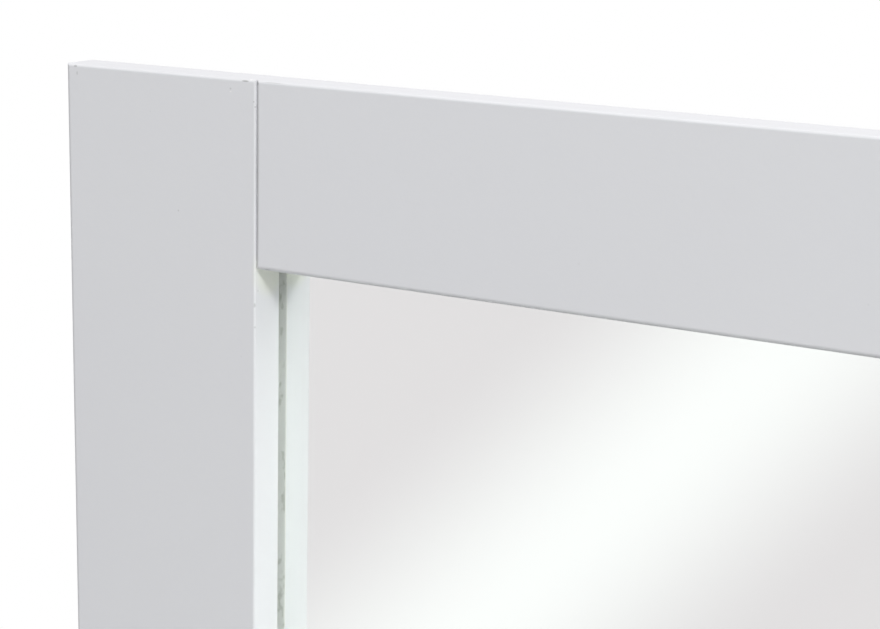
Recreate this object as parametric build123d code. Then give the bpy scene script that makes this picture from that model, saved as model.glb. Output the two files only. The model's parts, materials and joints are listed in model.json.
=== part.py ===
from build123d import *
from math import hypot
import os

# Wall mirror in a white board frame, in millimetres.
# X runs to the right as seen from the room, Y towards the wall and Z up.
# The origin lies in the wall plane, midway between the entries of the two keyholes.

# Overall size, as it hangs
mirror_width = 600.0
mirror_height = 800.0

# Frame boards, whose front arrises are sanded rounder at some edges than at others
board_thickness = 15.0
stile_width = 80.0
stile_outer_round = 1.8
stile_inner_round = 0.7
stile_end_round = 0.9
rail_height = 64.0
rail_outer_round = 0.9
rail_inner_round = 1.6
rail_end_round = 1.5
back_long_round = 0.6

# Dowels in the corner joints
dowel_diameter = 8.0
dowel_length = 35.0
dowel_chamfer = 1.0
dowel_spacing = 32.0
dowels_per_corner = 2
dowel_fit = 0.05
dowel_end_room = 1.0

# Mirror pane, its coat and the back panel
glass_lap = 12.0
glass_thickness = 4.0
glass_seam = 0.5
glass_corner_round = 1.5
coat_thickness = 0.15
panel_thickness = 3.0
panel_corner_round = 3.0

# Beads of adhesive between the pane's edges and the boards
bead_radius = 3.5
bead_end_radius = 1.0
bead_length = 60.0
side_bead_spacing = 150.0

# Swivel clips, bent from steel strip
clip_strip = 1.2
clip_width = 14.0
clip_bend_radius = 1.4
clip_web_reach = 8.0
clip_turn_clearance = 0.37
clip_tongue_lap = 9.0
clip_tongue_corner = 3.0
clip_lip_length = 2.4
clip_lip_rise = 0.9
clip_running_fit = 0.05
side_clip_inset = 158.0
end_clip_inset = 112.0

# Screws, and the holes drilled for them
screw_front_skin = 4.0
screw_hole_fit = 0.05
screw_end_room = 0.5
screw_tip_length = 3.0
screw_tip_diameter = 0.4
pan_screw_diameter = 3.5
pan_head_diameter = 7.0
pan_head_height = 2.4
pan_head_rim = 0.8
sunk_screw_diameter = 3.0
sunk_head_diameter = 5.6
cross_recess_width = 0.9
cross_recess_depth = 1.2
cross_recess_rim = 1.5

# Keyhole hangers, and the pockets behind them
hanger_drop = 100.0
hanger_plate_thickness = 1.5
hanger_plate_width = 20.0
hanger_plate_corner = 4.0
hanger_screw_land = 5.5
hanger_screw_edge = 5.5
keyhole_entry_diameter = 10.0
keyhole_slot_width = 5.0
keyhole_travel = 14.0
wall_screw_head = 9.0
pocket_margin = 1.5
pocket_front_skin = 7.0

# Rubber bumpers
wall_clearance = 0.75
bumper_diameter = 18.0
bumper_tip_diameter = 15.0
bumper_tip_chamfer = 1.2
bumper_inset = 26.0
bumper_seat_height = 4.5
bumper_head_room = 0.75

# How far a through cut runs past the faces it opens
cut_past = 1.0

# Depths that follow from the sizes above, from the wall towards the room
stack_height = glass_thickness + coat_thickness + panel_thickness
bumper_height = stack_height + clip_strip + clip_lip_rise + wall_clearance
back_plane = -bumper_height
board_middle = back_plane - board_thickness / 2
screw_bite = board_thickness - screw_front_skin - screw_end_room

# Places across the frame
frame_top = hanger_drop
frame_bottom = frame_top - mirror_height
frame_middle = (frame_top + frame_bottom) / 2
opening_width = mirror_width - 2 * stile_width
opening_height = mirror_height - 2 * rail_height
stile_x = (mirror_width - stile_width) / 2
rail_rise = (mirror_height - rail_height) / 2
glass_width = opening_width + 2 * glass_lap
glass_height = opening_height + 2 * glass_lap
clip_pivot_to_glass = hypot(clip_web_reach, clip_width / 2) + clip_turn_clearance

# Heights on a hanger, from the middle of its keyhole's entry
pocket_low = -(keyhole_entry_diameter / 2 + pocket_margin)
pocket_high = keyhole_travel + wall_screw_head / 2 + pocket_margin
hanger_screw_heights = (pocket_low - hanger_screw_land, pocket_high + hanger_screw_land)
hanger_middle = (pocket_low + pocket_high) / 2
hanger_plate_length = pocket_high - pocket_low + 2 * (hanger_screw_land + hanger_screw_edge)

# The two sides and the two levels of the frame, as signs and names
SIDES = ((-1, "left"), (1, "right"))
LEVELS = ((1, "top"), (-1, "bottom"))


def on_back(x, z, x_dir=(1, 0, 0)):
    """A plane on the backs of the boards, where heights rise from the board towards the wall."""
    return Plane(origin=(x, back_plane, z), x_dir=x_dir, z_dir=(0, 1, 0))


def bore(radius, low, high):
    """A round cutter along the local z axis, run past both the heights given."""
    length = high - low + 2 * cut_past
    return Pos(0, 0, (low + high) / 2) * Cylinder(radius, length)


def in_frame(x, z, outward):
    """A plane through the middle of a frame board, its z axis to the room and its x axis outward."""
    return Plane(origin=(x, board_middle, z), x_dir=outward, z_dir=(0, -1, 0))


def board(width, length, outer_round, inner_round, end_round):
    """A board about the origin, its length along Y, its front upwards and its outer edge towards +X."""
    section = Rectangle(width, board_thickness)
    section = fillet(section.vertices().group_by(Axis.Y)[0], back_long_round)
    for way, radius in ((1, outer_round), (-1, inner_round)):
        corner = (way * width / 2, board_thickness / 2, 0)
        section = fillet(section.vertices().sort_by_distance(corner)[0], radius)
    bar = extrude(Plane.XZ * section, length / 2 + cut_past, both=True)
    side_view = Rectangle(length, board_thickness)
    side_view = fillet(side_view.vertices().group_by(Axis.Y)[-1], end_round)
    return bar & extrude(Plane.YZ * side_view, width / 2 + cut_past, both=True)


def dowel():
    """A beech dowel along X, with chamfered ends."""
    peg = Cylinder(dowel_diameter / 2, dowel_length, rotation=(0, 90, 0))
    return chamfer(peg.edges().filter_by(GeomType.CIRCLE), dowel_chamfer)


def dowel_hole():
    """The drilling for one dowel, in both boards of a joint."""
    return Cylinder(dowel_diameter / 2 + dowel_fit, dowel_length + dowel_end_room, rotation=(0, 90, 0))


def dowel_spots(side, level):
    """The middles of the dowels of one corner, on the joint face between stile and rail."""
    middle = Pos(side * opening_width / 2, board_middle, frame_middle + level * rail_rise)
    lowest = -(dowels_per_corner - 1) * dowel_spacing / 2
    return [middle * Pos(0, 0, lowest + number * dowel_spacing) for number in range(dowels_per_corner)]


def cross_recess(head_diameter):
    """The cross-shaped driver recess in a screw head whose top is at height zero."""
    span = head_diameter - 2 * cross_recess_rim
    arm = Box(span, cross_recess_width, 2 * cross_recess_depth)
    return arm + Rot(0, 0, 90) * arm


def screw_shank(diameter, length):
    """A plain shank and its point, from height zero downwards."""
    straight = length - screw_tip_length
    shank = Pos(0, 0, -straight / 2) * Cylinder(diameter / 2, straight)
    point = Cone(screw_tip_diameter / 2, diameter / 2, screw_tip_length)
    return shank + Pos(0, 0, -straight - screw_tip_length / 2) * point


def pan_head_screw(grip):
    """A screw whose domed head bears at height zero on a piece as thick as the grip."""
    head_radius = pan_head_diameter / 2
    crown = pan_head_height - pan_head_rim
    crown_radius = (head_radius**2 + crown**2) / (2 * crown)
    head = Pos(0, 0, pan_head_height / 2) * Cylinder(head_radius, pan_head_height)
    head &= Pos(0, 0, pan_head_height - crown_radius) * Sphere(crown_radius)
    head -= Pos(0, 0, pan_head_height) * cross_recess(pan_head_diameter)
    return head + screw_shank(pan_screw_diameter, grip + screw_bite)


def countersunk_screw(grip):
    """A screw whose flat head ends flush with height zero, the top of a piece as thick as the grip."""
    cone_height = (sunk_head_diameter - sunk_screw_diameter) / 2
    head = Cone(sunk_screw_diameter / 2, sunk_head_diameter / 2, cone_height)
    shank = Pos(0, 0, -cone_height) * screw_shank(sunk_screw_diameter, grip + screw_bite - cone_height)
    return Pos(0, 0, -cone_height / 2) * head + shank - cross_recess(sunk_head_diameter)


def screw_hole(diameter):
    """The drilling for a screw, from the back of a board."""
    depth = screw_bite + screw_end_room
    return Pos(0, 0, -depth / 2) * Cylinder(diameter / 2 + screw_hole_fit, depth)


def adhesive_bead():
    """A quarter-round bead along Y with tapered ends, in the corner between a board and an upright edge."""
    body = Cylinder(bead_radius, bead_length - 2 * bead_radius, rotation=(90, 0, 0))
    for way in (-1, 1):
        end = Cone(bead_radius, bead_end_radius, bead_radius, rotation=(-90 * way, 0, 0))
        body += Pos(0, way * (bead_length - bead_radius) / 2, 0) * end
    corner = Pos(-bead_radius, 0, bead_radius) * Box(2 * bead_radius, bead_length, 2 * bead_radius)
    return body & corner


def swivel_clip():
    """A cranked clip with its pivot at the origin, its foot at height zero and its tongue along +X."""
    mid = clip_strip / 2
    web_x = clip_web_reach - mid
    tongue_z = stack_height + mid
    tongue_end = clip_pivot_to_glass + clip_tongue_lap
    bend_line = FilletPolyline(
        (-clip_width / 2, 0, mid),
        (web_x, 0, mid),
        (web_x, 0, tongue_z),
        (tongue_end - clip_lip_length, 0, tongue_z),
        (tongue_end, 0, tongue_z + clip_lip_rise),
        radius=clip_bend_radius,
    )
    section = Plane(origin=bend_line @ 0, x_dir=(0, 1, 0), z_dir=bend_line % 0)
    strip = sweep(section * Rectangle(clip_width, clip_strip), bend_line)
    outline = Pos(tongue_end / 2, 0) * Rectangle(tongue_end, clip_width)
    outline = fillet(outline.vertices().sort_by(Axis.X)[-2:], clip_tongue_corner)
    outline += Circle(clip_width / 2)
    punched = extrude(outline, bumper_height)
    return (strip & punched) - bore(pan_screw_diameter / 2 + clip_running_fit, 0, clip_strip)


def hanger_plate():
    """A keyhole plate on height zero, with the middle of its entry at the origin. Up is local -y."""
    outline = RectangleRounded(hanger_plate_width, hanger_plate_length, hanger_plate_corner)
    plate = extrude(Pos(0, -hanger_middle) * outline, hanger_plate_thickness)
    keyhole = Circle(keyhole_entry_diameter / 2)
    keyhole += Pos(0, -keyhole_travel / 2) * Rectangle(keyhole_slot_width, keyhole_travel)
    keyhole += Pos(0, -keyhole_travel) * Circle(keyhole_slot_width / 2)
    plate -= extrude(Pos(0, 0, -cut_past) * keyhole, hanger_plate_thickness + 2 * cut_past)
    hole_radius = sunk_screw_diameter / 2 + screw_hole_fit
    sink_radius = sunk_head_diameter / 2 + screw_hole_fit
    sink_depth = sink_radius - hole_radius
    sink = Pos(0, 0, hanger_plate_thickness - sink_depth / 2) * Cone(hole_radius, sink_radius, sink_depth)
    for height in hanger_screw_heights:
        plate -= Pos(0, -height, 0) * (bore(hole_radius, 0, hanger_plate_thickness) + sink)
    return plate


def hanger_pocket():
    """The milled pocket behind a keyhole, with room for the head of a wall screw along its travel."""
    width = keyhole_entry_diameter + 2 * pocket_margin
    outline = Rot(0, 0, 90) * SlotOverall(pocket_high - pocket_low, width)
    return extrude(Pos(0, -hanger_middle) * outline, pocket_front_skin - board_thickness)


def bumper():
    """A tapered rubber foot on height zero, bored for its screw and hollowed for the screw's head."""
    base = bumper_diameter / 2
    tip = bumper_tip_diameter / 2
    half = make_face(Polyline((0, 0), (base, 0), (tip, bumper_height), (0, bumper_height), close=True))
    rim = half.vertices().sort_by_distance((tip, bumper_height, 0))[0]
    half = chamfer(rim, bumper_tip_chamfer)
    body = revolve(Plane.XZ * half, Axis.Z)
    body -= bore(pan_screw_diameter / 2 + screw_hole_fit, 0, bumper_height)
    well = Cylinder(pan_head_diameter / 2 + bumper_head_room, bumper_height - bumper_seat_height)
    return body - Pos(0, 0, (bumper_height + bumper_seat_height) / 2) * well


def clip_spots():
    """The pivot of each swivel clip, as a plane on the board backs whose x axis points at the pane."""
    side_x = glass_width / 2 + clip_pivot_to_glass
    side_rise = glass_height / 2 - side_clip_inset
    end_x = glass_width / 2 - end_clip_inset
    end_rise = glass_height / 2 + clip_pivot_to_glass
    spots = {}
    for side, side_name in SIDES:
        for level, level_name in ((1, "upper"), (-1, "lower")):
            spot = on_back(side * side_x, frame_middle + level * side_rise, (-side, 0, 0))
            spots[f"clip_{side_name}_{level_name}"] = spot
    for level, level_name in LEVELS:
        for side, side_name in SIDES:
            spot = on_back(side * end_x, frame_middle + level * end_rise, (0, 0, -level))
            spots[f"clip_{level_name}_{side_name}"] = spot
    return spots


def bead_spots():
    """The middle of each bead, as a plane on the board backs whose x axis points at the pane."""
    spots = []
    for level in (1, -1):
        spots.append(on_back(0, frame_middle + level * glass_height / 2, (0, 0, -level)))
        for side in (-1, 1):
            rise = level * side_bead_spacing / 2
            spots.append(on_back(side * glass_width / 2, frame_middle + rise, (-side, 0, 0)))
    return spots


nodes = {}

# Drillings and pockets in the boards
hanger_spots = {f"hanger_{name}": on_back(side * stile_x, 0) for side, name in SIDES}
bumper_rise = mirror_height / 2 - bumper_inset
bumper_spots = {}
cuts = []
for side, side_name in SIDES:
    for level, level_name in LEVELS:
        spot = on_back(side * stile_x, frame_middle + level * bumper_rise)
        bumper_spots[f"bumper_{level_name}_{side_name}"] = spot
        cuts += [spot * dowel_hole() for spot in dowel_spots(side, level)]
for spot in [*clip_spots().values(), *bumper_spots.values()]:
    cuts.append(spot * screw_hole(pan_screw_diameter))
for spot in hanger_spots.values():
    cuts.append(spot * hanger_pocket())
    cuts += [spot * Pos(0, -height) * screw_hole(sunk_screw_diameter) for height in hanger_screw_heights]

# Stiles, the boards that run the full height
for side, side_name in SIDES:
    blank = board(stile_width, mirror_height, stile_outer_round, stile_inner_round, stile_end_round)
    nodes[f"{side_name}_stile"] = in_frame(side * stile_x, frame_middle, (side, 0, 0)) * blank - cuts

# Rails, the boards between them
for level, level_name in LEVELS:
    blank = board(rail_height, opening_width, rail_outer_round, rail_inner_round, rail_end_round)
    spot = in_frame(0, frame_middle + level * rail_rise, (0, 0, level))
    nodes[f"{level_name}_rail"] = spot * blank - cuts

# Dowels
for side, side_name in SIDES:
    for level, level_name in LEVELS:
        pegs = [spot * dowel() for spot in dowel_spots(side, level)]
        nodes[f"dowels_{level_name}_{side_name}"] = Compound(children=pegs)

# Mirror pane, its coat and the back panel, laid on the board backs in that order
pane_spot = on_back(0, frame_middle)
pane = extrude(RectangleRounded(glass_width, glass_height, glass_corner_round), glass_thickness)
pane = chamfer(pane.faces().filter_by(Axis.Z).edges(), glass_seam)
nodes["mirror_glass"] = pane_spot * pane

coated_width = glass_width - 2 * glass_seam
coated_height = glass_height - 2 * glass_seam
coat_outline = RectangleRounded(coated_width, coated_height, glass_corner_round - glass_seam)
nodes["silver_coat"] = pane_spot * Pos(0, 0, glass_thickness) * extrude(coat_outline, coat_thickness)

panel = extrude(RectangleRounded(glass_width, glass_height, panel_corner_round), panel_thickness)
nodes["back_panel"] = pane_spot * Pos(0, 0, glass_thickness + coat_thickness) * panel

# Beads of adhesive along the pane
nodes["adhesive_beads"] = Compound(children=[spot * adhesive_bead() for spot in bead_spots()])

# Swivel clips and their screws
clip_screws = []
for name, spot in clip_spots().items():
    nodes[name] = spot * swivel_clip()
    clip_screws.append(spot * Pos(0, 0, clip_strip) * pan_head_screw(clip_strip))
nodes["clip_screws"] = Compound(children=clip_screws)

# Keyhole hangers and their screws
hanger_screws = []
for name, spot in hanger_spots.items():
    nodes[name] = spot * hanger_plate()
    for height in hanger_screw_heights:
        seat = spot * Pos(0, -height, hanger_plate_thickness)
        hanger_screws.append(seat * countersunk_screw(hanger_plate_thickness))
nodes["hanger_screws"] = Compound(children=hanger_screws)

# Bumpers and their screws
bumper_screws = []
for name, spot in bumper_spots.items():
    nodes[name] = spot * bumper()
    bumper_screws.append(spot * Pos(0, 0, bumper_seat_height) * pan_head_screw(bumper_seat_height))
nodes["bumper_screws"] = Compound(children=bumper_screws)

os.makedirs("parts", exist_ok=True)
for name, shape in nodes.items():
    export_step(shape, f"parts/{name}.step")
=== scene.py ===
import json
from math import cos, pi, radians, sin, tau

import bmesh
import bpy
from mathutils import Matrix, Vector, noise

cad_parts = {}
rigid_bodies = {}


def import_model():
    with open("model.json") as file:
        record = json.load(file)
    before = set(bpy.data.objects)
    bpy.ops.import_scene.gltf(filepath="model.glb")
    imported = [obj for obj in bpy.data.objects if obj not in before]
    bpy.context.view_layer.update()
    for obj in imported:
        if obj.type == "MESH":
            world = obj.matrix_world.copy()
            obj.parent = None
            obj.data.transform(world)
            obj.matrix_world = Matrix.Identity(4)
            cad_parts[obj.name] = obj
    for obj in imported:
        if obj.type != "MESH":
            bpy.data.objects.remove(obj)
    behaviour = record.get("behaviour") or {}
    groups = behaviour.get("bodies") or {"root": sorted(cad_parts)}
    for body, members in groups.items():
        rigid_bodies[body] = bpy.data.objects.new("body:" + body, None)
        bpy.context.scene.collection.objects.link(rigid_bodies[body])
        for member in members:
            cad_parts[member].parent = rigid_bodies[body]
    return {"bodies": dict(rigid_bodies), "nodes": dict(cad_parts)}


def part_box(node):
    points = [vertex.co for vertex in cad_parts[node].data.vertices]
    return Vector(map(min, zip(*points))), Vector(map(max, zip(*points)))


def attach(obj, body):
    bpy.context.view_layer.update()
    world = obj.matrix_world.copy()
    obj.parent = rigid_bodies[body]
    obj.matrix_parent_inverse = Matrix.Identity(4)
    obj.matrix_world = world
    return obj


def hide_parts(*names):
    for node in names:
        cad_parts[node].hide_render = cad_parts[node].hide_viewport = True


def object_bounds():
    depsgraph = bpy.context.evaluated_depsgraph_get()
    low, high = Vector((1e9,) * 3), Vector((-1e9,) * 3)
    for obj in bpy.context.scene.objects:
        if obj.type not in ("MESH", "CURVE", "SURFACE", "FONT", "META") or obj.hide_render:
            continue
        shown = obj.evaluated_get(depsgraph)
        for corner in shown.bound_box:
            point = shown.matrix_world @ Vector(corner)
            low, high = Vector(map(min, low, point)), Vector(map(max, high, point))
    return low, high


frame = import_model()
cad_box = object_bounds()

# Frame boards
# Two stiles and two rails of fibreboard, butted and dowelled, and sprayed with white satin lacquer.
# The lacquer has a fine grain, a few specks and some nicks, and wear along its front arrises.
# Painted into its colour are highlights on the rear arrises and on two pinhole rims, painted shade over
# the front arrises and along the joints, and painted yellow-green light in the shade of the inner corner.
# The backs carry one thin coat, and the pockets for the hangers, milled after spraying, show the bare board.
board_white = (0.800, 0.808, 0.834, 1)
board_white_warmer = (0.812, 0.820, 0.840, 1)
board_speck = (0.1, 0.1, 0.1, 1)
board_back_white = (0.82, 0.82, 0.81, 1)
board_back_grey = (0.78, 0.78, 0.765, 1)
board_dust = (0.47, 0.48, 0.43, 1)
bare_board = (0.42, 0.31, 0.205, 1)
bare_board_pale = (0.55, 0.43, 0.30, 1)
rear_arris_reach = 0.0012
back_coat_reach = 0.0001
# Grey for wear on the front arrises, which is also painted shade that dims their highlight.
worn_and_shaded_grey = (0.46, 0.46, 0.44, 1)
# Painted highlight: a pale cream colour along the rear arrises, where light catches them.
painted_rear_arris_highlight = (0.93, 0.93, 0.90, 1)
# Dark for nicks, chips and pinholes, and for painted shade along the joints.
nick_and_shade_dark = (0.22, 0.225, 0.21, 1)
# Light for a lacquer speck, and for painted highlights on pinhole rims.
speck_and_highlight_white = (0.95, 0.95, 0.95, 1)
# Painted light: a yellow-green tint for the shaded inner corner, standing in for light tinted by the glass.
painted_glass_light_tint = (0.84, 0.86, 0.76, 1)
dark_marks = (
    ("nick left of the joint on the top arris", (-0.2241, -0.0247, 0.0994), (0.0017, 0.0009, 0.00035), 0.55),
    ("open top of the joint", (-0.2192, -0.0243, 0.0990), (0.0006, 0.0012, 0.0009), 0.45),
    ("nick on the joint's lit edge", (-0.2207, -0.0248, 0.0928), (0.00035, 0.0006, 0.0004), 0.30),
    ("second nick on the joint's lit edge", (-0.2202, -0.0248, 0.0911), (0.00035, 0.0006, 0.0003), 0.35),
    ("pinhole on the stile", (-0.23005, -0.0250, 0.0965), (0.0005, 0.0005, 0.0004), 0.22),
    ("pinhole lower on the stile", (-0.2518, -0.0250, 0.0529), (0.0004, 0.0005, 0.0004), 0.22),
    ("chip at the corner", (-0.2957, -0.0248, 0.0993), (0.0009, 0.0008, 0.0004), 0.40),
    ("chip below the corner", (-0.2950, -0.0250, 0.0969), (0.0004, 0.0006, 0.0008), 0.25),
    ("pinhole on the inner edge", (-0.2200, -0.0232, 0.0284), (0.0004, 0.0004, 0.0004), 0.25),
    ("nick in the rail's lower arris", (-0.2152, -0.0247, 0.0365), (0.0014, 0.0008, 0.0003), 0.30),
    ("scuff on the rail's top arris", (-0.2130, -0.0246, 0.0996), (0.0045, 0.0008, 0.0002), 0.22),
    ("nick in the inner arris", (-0.2203, -0.0247, 0.0236), (0.0004, 0.0006, 0.0010), 0.30),
    ("pinhole in the inner arris", (-0.2202, -0.0247, 0.0159), (0.0004, 0.0005, 0.0004), 0.25),
    # Painted shade: dark lines down the four joints, where the rail's arris turns away from the light.
    ("painted shade in the joint", (-0.2193, -0.0247, 0.0680), (0.0010, 0.0010, 0.0420), 0.24),
    ("painted shade in the joint", (0.2193, -0.0247, 0.0680), (0.0010, 0.0010, 0.0420), 0.24),
    ("painted shade in the joint", (-0.2193, -0.0247, -0.6680), (0.0010, 0.0010, 0.0420), 0.24),
    ("painted shade in the joint", (0.2193, -0.0247, -0.6680), (0.0010, 0.0010, 0.0420), 0.24),
)
light_marks = (
    ("speck of lacquer beside the joint", (-0.2221, -0.0244, 0.1000), (0.0005, 0.0005, 0.0004), 0.9),
    # Painted highlights: light spots on the lower rims of two pinholes, where light falls into them.
    ("painted highlight under the pinhole", (-0.2300, -0.0250, 0.0955), (0.0005, 0.0005, 0.0003), 0.7),
    ("painted highlight on the inner edge", (-0.2200, -0.0226, 0.0284), (0.0004, 0.0003, 0.0004), 0.7),
)
# Painted light in the shade of the inner corner, tinted yellow-green as if lit through the glass.
painted_glass_light_marks = (
    ("painted glass-green light in the inner corner", (-0.2200, -0.0150, 0.0350), (0.0030, 0.0120, 0.0110), 0.7),
)
mark_core, mark_rim = 0.5, 1.1


def new_finish(name, **even):
    """A finish with one shader. What is the same all over the surface is set on the shader itself."""
    finish = bpy.data.materials.new(name)
    finish.use_nodes = True
    shader = finish.node_tree.nodes["Principled BSDF"]
    for socket, value in even.items():
        shader.inputs[socket.replace("_", " ").title().replace("Ior", "IOR")].default_value = value
    return finish, shader


def step(finish, kind, feeds, **settings):
    """One step of a finish with its settings. Each feed is a number, a colour or another step's output."""
    tree = finish.node_tree
    node = tree.nodes.new("ShaderNode" + kind)
    for name, value in settings.items():
        setattr(node, name, value)
    for socket, value in feeds.items():
        if isinstance(value, bpy.types.NodeSocket):
            tree.links.new(value, node.inputs[socket])
        else:
            node.inputs[socket].default_value = value
    return node


def reckon(finish, operation, *values):
    """A sum on one or more numbers of a finish."""
    return step(finish, "Math", dict(enumerate(values)), operation=operation).outputs[0]


def place_on_piece(finish):
    """The point of the surface in the part's own frame, in metres."""
    return step(finish, "TexCoord", {}).outputs["Object"]


def grain(finish, place, scale, detail=2.0, stretch=(1, 1, 1)):
    """Cloudy grain of so many cells to the metre, from 0 to 1, drawn out where the stretch is small."""
    drawn = step(finish, "Mapping", {"Vector": place, "Scale": stretch}).outputs[0]
    return step(finish, "TexNoise", {"Vector": drawn, "Scale": scale, "Detail": detail}).outputs["Fac"]


def ramp(finish, value, low, high, to_low=0.0, to_high=1.0):
    """A value eased from one range to another."""
    feeds = {"Value": value, "From Min": low, "From Max": high, "To Min": to_low, "To Max": to_high}
    return step(finish, "MapRange", feeds, interpolation_type="SMOOTHSTEP").outputs[0]


def tint(finish, share, first, second):
    """One colour that turns into another as the share goes from 0 to 1."""
    node = step(finish, "Mix", {"Factor": share}, data_type="RGBA")
    for socket, value in (("A_Color", first), ("B_Color", second)):
        target = next(i for i in node.inputs if i.identifier == socket)
        if isinstance(value, bpy.types.NodeSocket):
            finish.node_tree.links.new(value, target)
        else:
            target.default_value = value
    return next(o for o in node.outputs if o.identifier == "Result_Color")


def specks(finish, place, scale, radius, share):
    """Small round marks in a share of the cells of a grid with so many cells to the metre."""
    cells = step(finish, "TexVoronoi", {"Vector": place, "Scale": scale})
    dot = ramp(finish, cells.outputs["Distance"], radius * scale * 0.6, radius * scale, 1.0, 0.0)
    chosen = step(finish, "SeparateColor", {"Color": cells.outputs["Color"]}).outputs[0]
    return reckon(finish, "MULTIPLY", dot, reckon(finish, "LESS_THAN", chosen, share))


def mark(finish, place, spot, middle, reach):
    """One small mark round the middle of a named spot, as far as its reach along X, Y and Z."""
    away = step(finish, "VectorMath", {0: place, 1: middle}, operation="SUBTRACT", label=spot).outputs[0]
    scaled = step(finish, "VectorMath", {0: away, 1: reach}, operation="DIVIDE").outputs[0]
    distance = step(finish, "VectorMath", {0: scaled}, operation="LENGTH").outputs["Value"]
    return ramp(finish, distance, mark_core, mark_rim, 1.0, 0.0)


def arrises(finish):
    """Where the surface turns from one face to the next, from 0 on the faces to 1 on the arrises."""
    facing = step(finish, "NewGeometry", {}).outputs["Normal"]
    straight = step(finish, "VectorMath", {0: facing}, operation="ABSOLUTE").outputs[0]
    x, y, z = step(finish, "SeparateXYZ", {"Vector": straight}).outputs
    squarest = reckon(finish, "MAXIMUM", reckon(finish, "MAXIMUM", x, y), z)
    return ramp(finish, squarest, 0.80, 0.985, 1.0, 0.0)


def relief(finish, shader, height, depth):
    """Fine relief on the surface, of so many metres at most."""
    bump = step(finish, "Bump", {"Height": height, "Distance": depth, "Strength": 1.0})
    finish.node_tree.links.new(bump.outputs[0], shader.inputs["Normal"])


def coat_node(name, finish):
    """Gives a piece of the frame its finish."""
    for slot in frame["nodes"][name].material_slots:
        slot.material = finish


def lacquer():
    """The boards' white lacquer with its painted highlights and shade, their thinly coated backs and the
    bare board inside the hanger pockets.
    """
    finish, shader = new_finish("white_lacquer", specular_ior_level=0.4)
    place = place_on_piece(finish)
    x, y, z = step(finish, "SeparateXYZ", {"Vector": place}).outputs

    drift = grain(finish, place, 5, 2.0)
    clean = tint(finish, ramp(finish, drift, 0.3, 0.7), board_white, board_white_warmer)
    faint = specks(finish, place, 110, 0.0004, 0.3)
    front = tint(finish, reckon(finish, "MULTIPLY", faint, 0.06), clean, board_speck)
    # Wear along the front arrises, broken up by grain. The darkening is also painted shade that dims the
    # arris highlight.
    rub_and_shade_breakup = ramp(finish, grain(finish, place, 55, 3.0), 0.3, 0.7, 0.25, 1.0)
    at_arris = arrises(finish)
    skin_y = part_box("left_stile")[1].y
    rear = reckon(finish, "GREATER_THAN", y, skin_y - rear_arris_reach)
    front_rub_and_shade = reckon(finish, "MULTIPLY", rub_and_shade_breakup, reckon(finish, "SUBTRACT", 1.0, rear))
    worn_and_shaded = reckon(finish, "MULTIPLY", at_arris, front_rub_and_shade)
    front = tint(finish, reckon(finish, "MULTIPLY", worn_and_shaded, 0.15), front, worn_and_shaded_grey)
    # Painted highlight along the rear arrises of the boards.
    front = tint(finish, reckon(finish, "MULTIPLY", at_arris, rear), front, painted_rear_arris_highlight)
    # These marks include painted light and shade: a green tint in the inner corner, dark lines in the joints
    # and highlights on pinhole rims.
    for marks, colour in ((painted_glass_light_marks, painted_glass_light_tint), (dark_marks, nick_and_shade_dark), (light_marks, speck_and_highlight_white)):
        for spot, middle, reach, strength in marks:
            share = reckon(finish, "MULTIPLY", mark(finish, place, spot, middle, reach), strength)
            front = tint(finish, share, front, colour)

    mottle = grain(finish, place, 60, 6.0)
    back = tint(finish, ramp(finish, mottle, 0.35, 0.7), board_back_white, board_back_grey)
    pane_low, pane_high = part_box("mirror_glass")
    near_pane_x = reckon(finish, "LESS_THAN", reckon(finish, "ABSOLUTE", x), pane_high.x)
    pane_reach = (pane_high.z - pane_low.z) / 2
    near_pane_z = reckon(finish, "COMPARE", z, (pane_low.z + pane_high.z) / 2, pane_reach)
    under_pane = reckon(finish, "MULTIPLY", near_pane_x, near_pane_z)
    dust = ramp(finish, grain(finish, place, 420, 4.0, (1, 1, 0.45)), 0.54, 0.66, 0.0, 0.60)
    back = tint(finish, reckon(finish, "MULTIPLY", dust, under_pane), back, board_dust)
    on_back = reckon(finish, "GREATER_THAN", y, skin_y - back_coat_reach)
    coated = tint(finish, on_back, front, back)

    hanger_low, hanger_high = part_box("hanger_right")
    across = (hanger_high.x - hanger_low.x) / 2
    middle = (hanger_low + hanger_high) / 2
    near_x = reckon(finish, "COMPARE", reckon(finish, "ABSOLUTE", x), middle.x, across)
    near_z = reckon(finish, "COMPARE", z, middle.z, (hanger_high.z - hanger_low.z) / 2)
    board_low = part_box("left_stile")[0]
    pocket_reach = (skin_y - board_low.y) / 2 - 2 * back_coat_reach
    in_board = reckon(finish, "COMPARE", y, (board_low.y + skin_y) / 2, pocket_reach)
    milled = reckon(finish, "MULTIPLY", reckon(finish, "MULTIPLY", near_x, near_z), in_board)
    fibres = grain(finish, place, 900, 4.0)
    bare = tint(finish, ramp(finish, fibres, 0.3, 0.75), bare_board, bare_board_pale)
    colour = tint(finish, milled, coated, bare)
    finish.node_tree.links.new(colour, shader.inputs["Base Color"])

    polish = ramp(finish, mottle, 0.3, 0.7, 0.40, 0.48)
    rough = reckon(finish, "MAXIMUM", polish, reckon(finish, "MULTIPLY", on_back, 0.7))
    finish.node_tree.links.new(reckon(finish, "MAXIMUM", rough, milled), shader.inputs["Roughness"])
    peel = grain(finish, place, 420, 3.0)
    relief(finish, shader, peel, 0.00004)
    return finish


white_lacquer = lacquer()
for name in ("left_stile", "right_stile", "top_rail", "bottom_rail"):
    coat_node(name, white_lacquer)

# Dowels
# Pegs of beech with chamfered ends, two glued into each corner joint, their grain along their length.
# They are hidden once the frame is closed.
beech_pale = (0.60, 0.42, 0.26, 1)
beech_dark = (0.46, 0.29, 0.16, 1)


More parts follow.
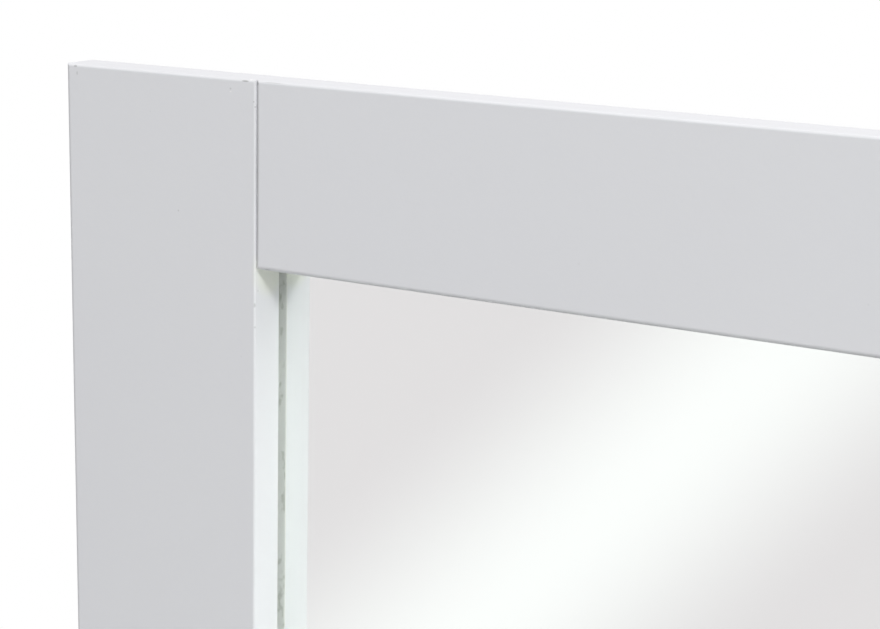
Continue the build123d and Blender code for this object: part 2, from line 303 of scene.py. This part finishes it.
def beech():
    """Beech with fine dark flecks along the grain, which runs along X."""
    finish, shader = new_finish("beech_wood", roughness=0.6)
    place = place_on_piece(finish)
    rays = grain(finish, place, 1400, 5.0, (0.08, 1, 1))
    colour = tint(finish, ramp(finish, rays, 0.35, 0.7), beech_pale, beech_dark)
    finish.node_tree.links.new(colour, shader.inputs["Base Color"])
    relief(finish, shader, rays, 0.00005)
    return finish


beech_wood = beech()
for level in ("top", "bottom"):
    for side in ("left", "right"):
        coat_node(f"dowels_{level}_{side}", beech_wood)

# Mirror pane
# Float glass 4 mm thick, faintly green, silvered on its back and laid against the backs of the boards.
# The corners are eased and the arrises ground off, so they are dull and pale.
glass_green = (0.80, 0.93, 0.84, 1)
glass_depth_density = 18.0
silver_bright = (0.96, 0.965, 0.96, 1)
pane_seam = 0.0005
pane_corner = 0.0015
pane_least_corner = 0.0002
pane_film = 0.00002
corner_steps = 6


def float_glass():
    """Clear polished glass, with the ground arrises round the edge dull."""
    finish, shader = new_finish("float_glass", base_color=(1, 1, 1, 1), transmission_weight=1.0, ior=1.52)
    place = place_on_piece(finish)
    x, y, z = step(finish, "SeparateXYZ", {"Vector": place}).outputs
    low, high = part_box("mirror_glass")
    middle = (low + high) / 2
    past_x = reckon(finish, "GREATER_THAN", reckon(finish, "ABSOLUTE", x), high.x - pane_seam)
    rise = reckon(finish, "ABSOLUTE", reckon(finish, "SUBTRACT", z, middle.z))
    past_z = reckon(finish, "GREATER_THAN", rise, high.z - middle.z - pane_seam)
    edge = reckon(finish, "MAXIMUM", past_x, past_z)
    scratches = grain(finish, place, 2500, 2.0)
    dull = ramp(finish, scratches, 0.3, 0.7, 0.35, 0.6)
    finish.node_tree.links.new(reckon(finish, "MULTIPLY", edge, dull), shader.inputs["Roughness"])
    output = finish.node_tree.nodes["Material Output"]
    scattered = reckon(finish, "GREATER_THAN", step(finish, "LightPath", {}).outputs["Diffuse Depth"], 0.5)
    clear = step(finish, "BsdfTransparent", {}).outputs[0]
    passing = step(finish, "MixShader", {0: scattered, 1: shader.outputs[0], 2: clear}).outputs[0]
    finish.node_tree.links.new(passing, output.inputs["Surface"])
    body = step(finish, "VolumeAbsorption", {"Color": glass_green, "Density": glass_depth_density})
    finish.node_tree.links.new(body.outputs[0], output.inputs["Volume"])
    return finish


def eased_rectangle(low, high, inset, corner):
    """The outline of a pane drawn in from its box, as points in X and Z, with rounded corners."""
    points = []
    corner = max(corner - inset, pane_least_corner)
    for turn, (x, z) in enumerate(((1, 1), (-1, 1), (-1, -1), (1, -1))):
        middle_x = (high.x if x > 0 else low.x) - x * (inset + corner)
        middle_z = (high.z if z > 0 else low.z) - z * (inset + corner)
        for number in range(corner_steps + 1):
            angle = (turn + number / corner_steps) * pi / 2
            points.append((middle_x + corner * cos(angle), middle_z + corner * sin(angle)))
    return points


def pane():
    """The pane as one closed mesh with a silvered back, a film of air clear of the boards and the paint."""
    low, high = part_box("mirror_glass")
    front, back = low.y + pane_film, high.y - pane_film
    rings = ((front, pane_seam), (front + pane_seam, 0.0), (back - pane_seam, 0.0), (back, pane_seam))
    sketch = bmesh.new()
    loops = []
    for y, inset in rings:
        outline = eased_rectangle(low, high, inset, pane_corner)
        loops.append([sketch.verts.new((x, y, z)) for x, z in outline])
    for near, far in zip(loops, loops[1:]):
        for number in range(len(near)):
            after = (number + 1) % len(near)
            sketch.faces.new((near[number], near[after], far[after], far[number]))
    sketch.faces.new(loops[0])
    silvered = sketch.faces.new(loops[-1])
    silvered.material_index = 1
    bmesh.ops.recalc_face_normals(sketch, faces=sketch.faces)
    mesh = bpy.data.meshes.new("mirror_pane")
    sketch.to_mesh(mesh)
    sketch.free()
    return mesh


def lay(name, mesh, body, slot, *finishes):
    """Puts a piece into the picture with its finishes, on the body that carries it."""
    piece = bpy.data.objects.new(name, mesh)
    bpy.context.scene.collection.objects.link(piece)
    for finish in finishes:
        mesh.materials.append(finish)
    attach(piece, body)
    return piece


silver_back = new_finish("silver_back", metallic=1.0, roughness=0.0, base_color=silver_bright)[0]
mirror_pane = lay("mirror_pane", pane(), "frame", "glass", float_glass(), silver_back)
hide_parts("mirror_glass")

# Silver coat
# The grey paint over the silver, which keeps the damp out, flowed on in one thin coat.
# It shows only at the edge of the pane.
coat_paint = (0.20, 0.23, 0.235, 1)
coat_paint_pale = (0.25, 0.28, 0.28, 1)


def backing_paint():
    """Grey backing paint, curtain-coated and slightly streaked."""
    finish, shader = new_finish("backing_paint", roughness=0.5)
    streaks = grain(finish, place_on_piece(finish), 300, 3.0, (1, 1, 0.1))
    colour = tint(finish, ramp(finish, streaks, 0.3, 0.7), coat_paint, coat_paint_pale)
    finish.node_tree.links.new(colour, shader.inputs["Base Color"])
    return finish


coat_node("silver_coat", backing_paint())

# Back panel
# A sheet of hardboard 3 mm thick, laid over the painted back of the mirror, smooth side out.
# It is brown, with short fibres pressed into it.
hardboard_brown = (0.235, 0.135, 0.070, 1)
hardboard_cloud = (0.27, 0.16, 0.088, 1)
hardboard_fibre = (0.36, 0.225, 0.125, 1)
hardboard_fleck = (0.10, 0.055, 0.03, 1)


def hardboard():
    """Pressed brown fibre, with dark flecks and a slightly polished face."""
    finish, shader = new_finish("hardboard_sheet")
    place = place_on_piece(finish)
    fibres = grain(finish, place, 1000, 6.0, (1, 1, 0.30))
    clouds = grain(finish, place, 14, 3.0)
    ground = tint(finish, ramp(finish, clouds, 0.3, 0.7), hardboard_brown, hardboard_cloud)
    fibred = tint(finish, ramp(finish, fibres, 0.52, 0.75), ground, hardboard_fibre)
    flecks = specks(finish, place, 380, 0.0005, 0.16)
    colour = tint(finish, reckon(finish, "MULTIPLY", flecks, 0.6), fibred, hardboard_fleck)
    finish.node_tree.links.new(colour, shader.inputs["Base Color"])
    finish.node_tree.links.new(ramp(finish, fibres, 0.3, 0.7, 0.38, 0.58), shader.inputs["Roughness"])
    relief(finish, shader, fibres, 0.00006)
    return finish


coat_node("back_panel", hardboard())

# Beads of adhesive
# Clear silicone, gunned in six short runs along the edge of the pane to keep it from shifting.
# Each run swells and thins a little, as the gun was drawn along, and ends in a rounded tail.
silicone_colour = (0.80, 0.80, 0.77, 1)
silicone_cloud = (0.72, 0.72, 0.68, 1)


def silicone():
    """Milky, half clear silicone with a skin."""
    finish, shader = new_finish("clear_silicone", roughness=0.32, transmission_weight=0.35, ior=1.41)
    clouds = grain(finish, place_on_piece(finish), 400, 3.0)
    colour = tint(finish, ramp(finish, clouds, 0.3, 0.7), silicone_colour, silicone_cloud)
    finish.node_tree.links.new(colour, shader.inputs["Base Color"])
    relief(finish, shader, clouds, 0.00008)
    return finish


bead_radius = 0.0035
bead_length = 0.060
side_bead_spacing = 0.150
bead_sections = 64
bead_facets = 10
bead_least_radius = 0.00002
bead_fullness = 0.90
bead_swelling = 0.16
bead_slump = 0.10
bead_tail_power = 14


def run_of_silicone(sketch, middle, along, away, seed):
    """One gunned run in the corner between the board backs and the edge of the pane."""
    up = Vector((0, 1, 0))
    rings = []
    for section in range(bead_sections + 1):
        share = 2 * section / bead_sections - 1
        slow = noise.noise(Vector((share * 3.0, seed * 7.3, 0.5)))
        quick = noise.noise(Vector((share * 11.0, seed, 2.1)))
        wander = slow + 0.5 * quick
        tail = max(1 - abs(share) ** bead_tail_power, 0.0) ** 0.5
        radius = max(bead_radius * tail * (bead_fullness + bead_swelling * wander), bead_least_radius)
        origin = middle + along * (share * bead_length / 2)
        ring = [sketch.verts.new(origin)]
        for facet in range(bead_facets + 1):
            angle = facet / bead_facets * pi / 2
            swell = 1 - bead_slump * sin(2 * angle) * (0.5 + wander)
            ring.append(sketch.verts.new(origin + (away * cos(angle) + up * sin(angle)) * radius * swell))
        rings.append(ring)
    for near, far in zip(rings, rings[1:]):
        for number in range(len(near)):
            after = (number + 1) % len(near)
            sketch.faces.new((near[number], near[after], far[after], far[number]))
    sketch.faces.new(rings[0])
    sketch.faces.new(rings[-1])


def finished_mesh(name, sketch):
    """The mesh of what has been sketched, shaded smooth and with its faces turned outwards."""
    bmesh.ops.recalc_face_normals(sketch, faces=sketch.faces)
    for face in sketch.faces:
        face.smooth = True
    mesh = bpy.data.meshes.new(name)
    sketch.to_mesh(mesh)
    sketch.free()
    return mesh


pane_low, pane_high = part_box("mirror_glass")
pane_middle = (pane_low + pane_high) / 2
sketch = bmesh.new()
for level, edge_z in ((1, pane_high.z), (-1, pane_low.z)):
    middle = Vector((0, pane_low.y, edge_z))
    run_of_silicone(sketch, middle, Vector((1, 0, 0)), Vector((0, 0, level)), level + 3)
    for side in (-1, 1):
        middle = Vector((side * pane_high.x, pane_low.y, pane_middle.z + level * side_bead_spacing / 2))
        run_of_silicone(sketch, middle, Vector((0, 0, 1)), Vector((side, 0, 0)), 3 * side + level)
silicone_runs = lay("silicone_runs", finished_mesh("silicone_runs", sketch), "frame", "adhesive", silicone())
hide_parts("adhesive_beads")

# Swivel clips
# Eight cranked clips of zinc-plated steel strip, which reach over the edge of the pane on to the back panel.
# Each turns on its screw, so that panel and pane can be taken out.
zinc_colour = (0.53, 0.545, 0.565, 1)
zinc_dull = (0.45, 0.46, 0.46, 1)


def zinc():
    """Bright zinc plating, with faint clouds, fine rolling lines and a few dull spots."""
    finish, shader = new_finish("zinc_plating", metallic=1.0)
    place = place_on_piece(finish)
    clouds = grain(finish, place, 180, 4.0)
    lines = grain(finish, place, 2600, 3.0, (1, 1, 0.06))
    colour = tint(finish, ramp(finish, clouds, 0.35, 0.7), zinc_colour, zinc_dull)
    finish.node_tree.links.new(colour, shader.inputs["Base Color"])
    dull = ramp(finish, clouds, 0.3, 0.75, 0.26, 0.44)
    rough = reckon(finish, "ADD", dull, reckon(finish, "MULTIPLY", lines, 0.05))
    finish.node_tree.links.new(rough, shader.inputs["Roughness"])
    relief(finish, shader, lines, 0.00001)
    return finish


zinc_plating = zinc()
clip_names = [body for body in frame["bodies"] if body.startswith("clip_")]
for name in clip_names:
    coat_node(name, zinc_plating)

# Clip screws
# Pan-head wood screws of bright steel with rolled threads, one in the eye of each clip.
# Each is driven into the back of a board and stops short of its front.
screw_colour = (0.62, 0.62, 0.61, 1)
screw_dull = (0.53, 0.53, 0.53, 1)


def screw_steel():
    """Turned steel with fine marks and dull spots."""
    finish, shader = new_finish("screw_steel", metallic=1.0)
    clouds = grain(finish, place_on_piece(finish), 900, 3.0)
    colour = tint(finish, ramp(finish, clouds, 0.35, 0.7), screw_colour, screw_dull)
    finish.node_tree.links.new(colour, shader.inputs["Base Color"])
    finish.node_tree.links.new(ramp(finish, clouds, 0.3, 0.75, 0.22, 0.38), shader.inputs["Roughness"])
    return finish


bright_steel = screw_steel()
head_spokes = 96
thread_spokes = 24
head_rings = 24
head_dome = radians(80)
recess_reach = 0.0021
recess_width = 0.00052
recess_depth = 0.0014
recess_side_slope = 3.0
recess_end_slope = 1.6
recess_limit = 0.9
sunk_cone = 0.46
thread_core = 0.68
thread_crest = 0.22
thread_rings = 8
blunt_point = 0.03
point_length = 3.2
pan_head_radius = 0.0035
pan_head_height = 0.0024
pan_head_rim = 0.0008
pan_shank_radius = 0.00175
pan_pitch = 0.0016
board_front_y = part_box("left_stile")[0].y
screw_front_skin = 0.0045
screw_turn_step = 2.4
weld_reach = 0.000001


def head_profile(radius, height, rim, countersunk):
    """The outline of a screw head from its middle outwards, as reach and height above its seat."""
    if countersunk:
        sink = radius * sunk_cone
        flat = [(radius * number / head_rings, 0.0) for number in range(head_rings)]
        return flat + [(radius * 0.985, -0.00004), (radius, -0.00014), (radius - sink, -sink)]
    dome = []
    for number in range(head_rings + 1):
        angle = number / head_rings * head_dome
        reach = radius * 0.97 * sin(angle) / sin(head_dome)
        rise = rim + (height - rim) * (cos(angle) - cos(head_dome)) / (1 - cos(head_dome))
        dome.append((reach, rise))
    return dome + [(radius, rim * 0.8), (radius, rim * 0.25), (radius * 0.97, 0.0)]


def recessed(x, y):
    """How far the cross recess goes down at a point of the head, from 0 to 1. Its sides and ends slope."""
    deep = 0.0
    for across, along in ((abs(x), abs(y)), (abs(y), abs(x))):
        side = 1 - across / recess_width
        end = 1 - along / recess_reach
        if side > 0 and end > 0:
            deep = max(deep, min(side * recess_side_slope, 1.0) * min(end * recess_end_slope, 1.0))
    return deep


def screw(sketch, seat, radius, height, rim, shank_radius, pitch, length, turn, countersunk):
    """A wood screw seated at a point, its head towards the wall and its thread down to a sharp point."""
    outline = head_profile(radius, height, rim, countersunk)
    rings = []
    for reach, rise in outline:
        ring = []
        for spoke in range(head_spokes):
            angle = spoke / head_spokes * tau
            x, y = reach * cos(angle), reach * sin(angle)
            drop = recess_depth * recessed(x, y) if reach < radius * recess_limit else 0.0
            turned = angle + turn
            ring.append((reach * cos(turned), rise - drop, reach * sin(turned)))
        rings.append(ring)
    start = rings[-1][0][1]
    total = int((length + start) / pitch * thread_rings)
    for number in range(total + 1):
        depth = start - number / total * (length + start)
        to_point = min((length + depth) / (point_length * shank_radius), 1.0)
        ring = []
        for spoke in range(0, head_spokes, head_spokes // thread_spokes):
            angle = spoke / head_spokes * tau
            phase = (depth / pitch + spoke / head_spokes) % 1.0
            crest = max(0.0, 1 - abs(phase - 0.5) / thread_crest)
            reach = shank_radius * (thread_core + (1 - thread_core) * crest) * max(to_point, blunt_point)
            point = (reach * cos(angle + turn), depth, reach * sin(angle + turn))
            ring += [point] * (head_spokes // thread_spokes)
        rings.append(ring)
    made = []
    for ring in rings:
        made.append([sketch.verts.new(seat + Vector(point)) for point in ring])
    for near, far in zip(made, made[1:]):
        for number in range(head_spokes):
            after = (number + 1) % head_spokes
            sketch.faces.new((near[number], near[after], far[after], far[number]))
    sketch.faces.new(made[0])
    sketch.faces.new(made[-1])


def screws(name, seats, radius, height, rim, shank_radius, pitch, countersunk=False):
    """A group of like screws as one piece, each turned its own way."""
    sketch = bmesh.new()
    for number, seat in enumerate(seats):
        length = seat.y - board_front_y - screw_front_skin
        turn = number * screw_turn_step
        screw(sketch, seat, radius, height, rim, shank_radius, pitch, length, turn, countersunk)
    bmesh.ops.remove_doubles(sketch, verts=sketch.verts, dist=weld_reach)
    piece = lay(name, finished_mesh(name, sketch), "frame", "screw_steel", bright_steel)
    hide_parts(name.replace("threaded_", ""))


def pan_screws(name, seats):
    """Pan-head screws, alike under the clips and in the bumpers."""
    screws(name, seats, pan_head_radius, pan_head_height, pan_head_rim, pan_shank_radius, pan_pitch)


clip_strip = 0.0012
clip_foot_reach = 0.007
clip_seats = []
for name in clip_names:
    low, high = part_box(name)
    seat = (low + high) / 2
    seat.y = low.y + clip_strip
    if "_left_" in name or "_right_" in name:
        side = 1 if seat.x > 0 else -1
        seat.x = (high.x if side > 0 else low.x) - side * clip_foot_reach
    else:
        level = 1 if seat.z > pane_middle.z else -1
        seat.z = (high.z if level > 0 else low.z) - level * clip_foot_reach
    clip_seats.append(seat)
pan_screws("threaded_clip_screws", clip_seats)

# Keyhole hangers
# Two zinc-plated steel plates, each punched with a keyhole for a wall screw.
# They are screwed to the stiles, over pockets milled for the wall screws' heads.
for side in ("left", "right"):
    coat_node(f"hanger_{side}", zinc_plating)

# Hanger screws
# Small countersunk wood screws of bright steel, two in each plate.
# Their flat heads lie flush with the plates.
hanger_screw_edge = 0.0055
sunk_head_radius = 0.0028
sunk_shank_radius = 0.0015
sunk_pitch = 0.0013
hanger_seats = []
for side in ("left", "right"):
    low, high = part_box(f"hanger_{side}")
    for z in (low.z + hanger_screw_edge, high.z - hanger_screw_edge):
        hanger_seats.append(Vector(((low.x + high.x) / 2, high.y, z)))
screws(
    "threaded_hanger_screws",
    hanger_seats,
    radius=sunk_head_radius,
    height=0.0,
    rim=0.0,
    shank_radius=sunk_shank_radius,
    pitch=sunk_pitch,
    countersunk=True,
)

# Bumpers
# Four tapered feet that keep the frame off the wall, moulded from black rubber in two halves of a mould.
# Each has a bore and a well for the screw that holds it to the back of its stile.
rubber_black = (0.030, 0.030, 0.031, 1)
rubber_bloom = (0.065, 0.065, 0.066, 1)


def rubber():
    """Moulded black rubber, dull, with a bloom of grey."""
    finish, shader = new_finish("black_rubber", specular_ior_level=0.35)
    clouds = grain(finish, place_on_piece(finish), 500, 5.0)
    colour = tint(finish, ramp(finish, clouds, 0.45, 0.8), rubber_black, rubber_bloom)
    finish.node_tree.links.new(colour, shader.inputs["Base Color"])
    finish.node_tree.links.new(ramp(finish, clouds, 0.3, 0.7, 0.55, 0.75), shader.inputs["Roughness"])
    relief(finish, shader, clouds, 0.00006)
    return finish


black_rubber = rubber()
bumper_spokes = 72
bumper_bore = 0.0018
bumper_well = 0.00425
bumper_seat = 0.0045
well_round = 0.0003
bumper_foot = ((bumper_bore, 0.0), (0.0086, 0.0), (0.0090, 0.0004))
bumper_side = ((0.00885, 0.0014), (0.00868, 0.0030), (0.00850, 0.0044))
bumper_mould_line = ((0.00856, 0.0046), (0.00856, 0.0048), (0.00846, 0.0050))
bumper_upper_side = ((0.00825, 0.0068), (0.00800, 0.0084), (0.00775, 0.0093), (0.00728, 0.0098))
bumper_tip = ((0.00668, 0.0100), (0.0056, 0.0100), (0.0049, 0.00985), (0.00440, 0.0094))
well_side = ((bumper_well, 0.0088), (bumper_well, bumper_seat + well_round))
well_floor = ((0.0040, bumper_seat), (bumper_bore, bumper_seat))
bumper_outside = bumper_foot + bumper_side + bumper_mould_line + bumper_upper_side
bumper_outline = bumper_outside + bumper_tip + well_side + well_floor


def turned(sketch, outline, foot):
    """A ring turned from a closed outline of reach and height, round an axis towards the wall."""
    rings = []
    for spoke in range(bumper_spokes):
        angle = spoke / bumper_spokes * tau
        ring = []
        for reach, rise in outline:
            ring.append(sketch.verts.new(foot + Vector((reach * cos(angle), rise, reach * sin(angle)))))
        rings.append(ring)
    for near, far in zip(rings, rings[1:] + rings[:1]):
        for number in range(len(near)):
            after = (number + 1) % len(near)
            sketch.faces.new((near[number], near[after], far[after], far[number]))


bumper_seats = []
for level in ("top", "bottom"):
    for side in ("left", "right"):
        low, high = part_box(f"bumper_{level}_{side}")
        foot = (low + high) / 2
        foot.y = low.y
        sketch = bmesh.new()
        turned(sketch, bumper_outline, foot)
        name = f"rubber_{level}_{side}"
        piece = lay(name, finished_mesh(name, sketch), "frame", "rubber", black_rubber)
        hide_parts(f"bumper_{level}_{side}")
        bumper_seats.append(foot + Vector((0, bumper_seat, 0)))

# Bumper screws
# Pan-head wood screws of bright steel, the same as in the clips.
# One goes down the well of each bumper, so that its head stays clear of the wall.
pan_screws("threaded_bumper_screws", bumper_seats)

# Studio floor
# A round of pale floor under the mirror's lower edge.
# It fades out into the white ground of the picture.
floor_radius = 1.2
floor_spokes = 96
floor_gap = 0.0005
floor_white = (0.86, 0.86, 0.86, 1)
floor_mesh = bpy.data.meshes.new("studio_floor")
sketch = bmesh.new()
bmesh.ops.create_circle(sketch, cap_ends=True, segments=floor_spokes, radius=floor_radius)
sketch.to_mesh(floor_mesh)
sketch.free()
studio_floor = bpy.data.objects.new("studio_floor", floor_mesh)
studio_floor.location.z = cad_box[0].z - floor_gap
bpy.context.scene.collection.objects.link(studio_floor)
floor_finish, floor_shader = new_finish("floor_paint", roughness=0.8, base_color=floor_white)
floor_place = place_on_piece(floor_finish)
reach = step(floor_finish, "VectorMath", {0: floor_place}, operation="LENGTH").outputs["Value"]
floor_fade = ramp(floor_finish, reach, floor_radius * 0.25, floor_radius * 0.98, 1.0, 0.0)
floor_finish.node_tree.links.new(floor_fade, floor_shader.inputs["Alpha"])
floor_mesh.materials.append(floor_finish)

# Studio light
# A soft box to the right of the camera and above it, one overhead and one behind the mirror.
# They face the upper left corner of the frame, and the pane doesn't show them.
subject = Vector((-0.24, 0, 0.0))
key_way = (1.0, -1.0, 1.15)


def soft_box(name, towards, distance, width, height, power):
    """A soft lamp that hangs in a direction from the subject and faces it."""
    lamp = bpy.data.lights.new(name, "AREA")
    lamp.shape = "RECTANGLE"
    lamp.size, lamp.size_y = width, height
    lamp.energy = power
    stand = bpy.data.objects.new(name, lamp)
    way = Vector(towards).normalized()
    stand.location = subject + way * distance
    stand.rotation_euler = way.to_track_quat("Z", "Y").to_euler()
    bpy.context.scene.collection.objects.link(stand)
    return stand


key_lamp = soft_box("key_lamp", key_way, distance=4.0, width=0.8, height=0.8, power=84)
top_lamp = soft_box("top_lamp", (0.10, -0.22, 1.0), distance=1.2, width=0.6, height=0.6, power=3.6)
back_lamp = soft_box("back_lamp", (0.35, 1.0, 0.0), distance=4.0, width=1.6, height=1.6, power=80)
for lamp in (key_lamp, top_lamp, back_lamp):
    lamp.visible_camera = False
    lamp.visible_glossy = False
    lamp.visible_transmission = False

# The room round the camera
# The pane shows a pale, faintly pink room with one long soft light across it, which rises to the right.
# Light that is already scattered also meets a bright patch where the key lamp hangs, in place of the lamp.
# Straight behind the object the picture is plain white.
room_pale = (0.815, 0.783, 0.800, 1)
band_across = (-0.7399, 0.0840, 0.6675)
band_reach = 0.1
band_light = (1.05, 1.05, 1.05, 1)
window_way = Vector((1.5, -1.0, 0.78)).normalized()
window_light = 1.7
window_rim, window_core = 0.6, 0.95
lamp_way = Vector(key_way).normalized()
lamp_glow = 7.0
glow_rim, glow_core = 0.90, 0.98
light_mean = 0.385
light_lean = (0.18, 0.0, 0.10)
ground_white = (1, 1, 1, 1)
room = bpy.data.worlds.new("studio_room")
room.use_nodes = True
bpy.context.scene.world = room
room_out = room.node_tree.nodes["Background"]
way = step(room, "TexCoord", {}).outputs["Generated"]
across = step(room, "VectorMath", {0: way, 1: band_across}, operation="DOT_PRODUCT").outputs["Value"]
from_band = reckon(room, "ABSOLUTE", across)
band = ramp(room, from_band, 0.0, band_reach, 1.0, 0.0)
banded_room = tint(room, band, room_pale, band_light)
to_window = step(room, "VectorMath", {0: way, 1: window_way}, operation="DOT_PRODUCT").outputs["Value"]
window = ramp(room, to_window, window_rim, window_core)
seen_room = tint(room, window, banded_room, (window_light, window_light, window_light, 1))
paths = step(room, "LightPath", {}).outputs
to_lamp = step(room, "VectorMath", {0: way, 1: lamp_way}, operation="DOT_PRODUCT").outputs["Value"]
scattered = reckon(room, "GREATER_THAN", paths["Diffuse Depth"], 0.5)
lamp_seen = reckon(room, "MULTIPLY", ramp(room, to_lamp, glow_rim, glow_core), scattered)
lit_room = tint(room, lamp_seen, seen_room, (lamp_glow, lamp_glow, lamp_glow, 1))
lean = step(room, "VectorMath", {0: way, 1: light_lean}, operation="DOT_PRODUCT").outputs["Value"]
light_level = reckon(room, "ADD", lean, light_mean)
sky = step(room, "CombineColor", {0: light_level, 1: light_level, 2: light_level}).outputs[0]
mirrored = reckon(room, "MAXIMUM", paths["Is Glossy Ray"], paths["Is Transmission Ray"])
lit_or_mirrored = tint(room, mirrored, sky, lit_room)
picture = tint(room, paths["Is Camera Ray"], lit_or_mirrored, ground_white)
room.node_tree.links.new(picture, room_out.inputs["Color"])

# Camera
# It stands close to the upper left corner, to the right of it and a little above, and looks down on it.
camera_place = (0.1581, -0.5783, 0.1766)
camera_turn, camera_dip, camera_tilt = 0.5056, 0.2277, 0.0235
lens = bpy.data.cameras.new("camera")
lens.lens = 82.55
lens.sensor_width = 36.0
lens.clip_start = 0.01
camera = bpy.data.objects.new("camera", lens)
camera.matrix_world = (
    Matrix.Translation(camera_place)
    @ Matrix.Rotation(camera_turn, 4, "Z")
    @ Matrix.Rotation(pi / 2 - camera_dip, 4, "X")
    @ Matrix.Rotation(camera_tilt, 4, "Z")
)
bpy.context.scene.collection.objects.link(camera)
bpy.context.scene.camera = camera
bpy.context.scene.view_settings.view_transform = "Standard"
